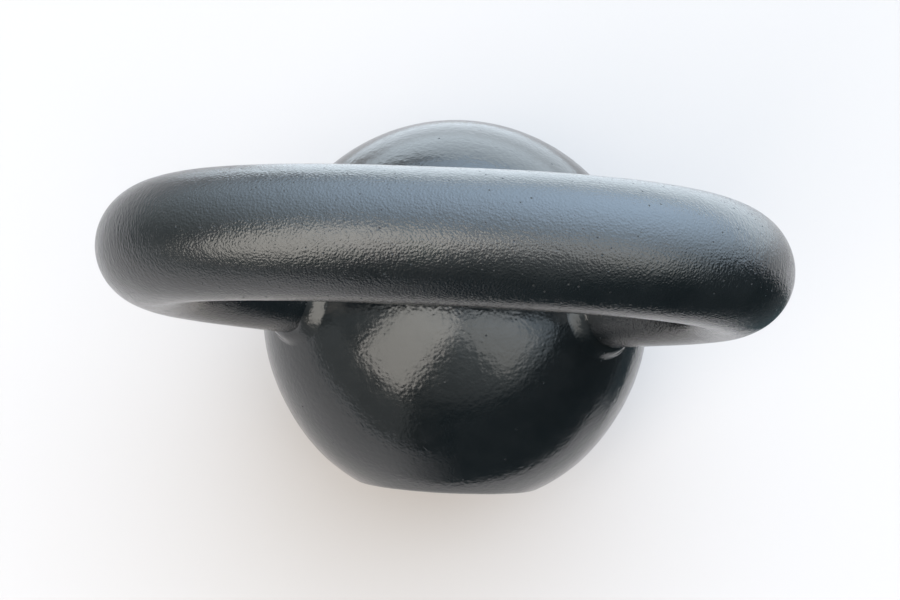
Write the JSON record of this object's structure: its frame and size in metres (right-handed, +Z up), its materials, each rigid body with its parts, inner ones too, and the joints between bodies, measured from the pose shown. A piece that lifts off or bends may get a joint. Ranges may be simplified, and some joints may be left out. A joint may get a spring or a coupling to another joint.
{
  "type": "kettlebell",
  "caption": "Kettlebell: heavy painted iron ball with a flat base and front, and a thick bent handle bar welded into its top.",
  "frame": {"origin": "middle of the flat base that the bell stands on, under the ball's centre", "axes": "+Z up from the base flat through the ball's centre to the middle of the grip, +X along the grip, -Y towards the flat face on the front"},
  "size_m": [0.1942, 0.1353, 0.212],
  "materials": {
    "ball_enamel": "gloss black enamel over cast iron",
    "handle_enamel": "gloss black enamel over a sand-cast grain",
    "weld_enamel": "gloss black enamel over a weld bead",
    "bare_steel": "turned steel, oiled"
  },
  "bodies": {
    "root": {"ball": "ball_enamel", "handle": "handle_enamel", "left_weld": "weld_enamel", "right_weld": "weld_enamel", "trim_weight": "bare_steel", "base_plug": "bare_steel"}
  },
  "joints": []
}
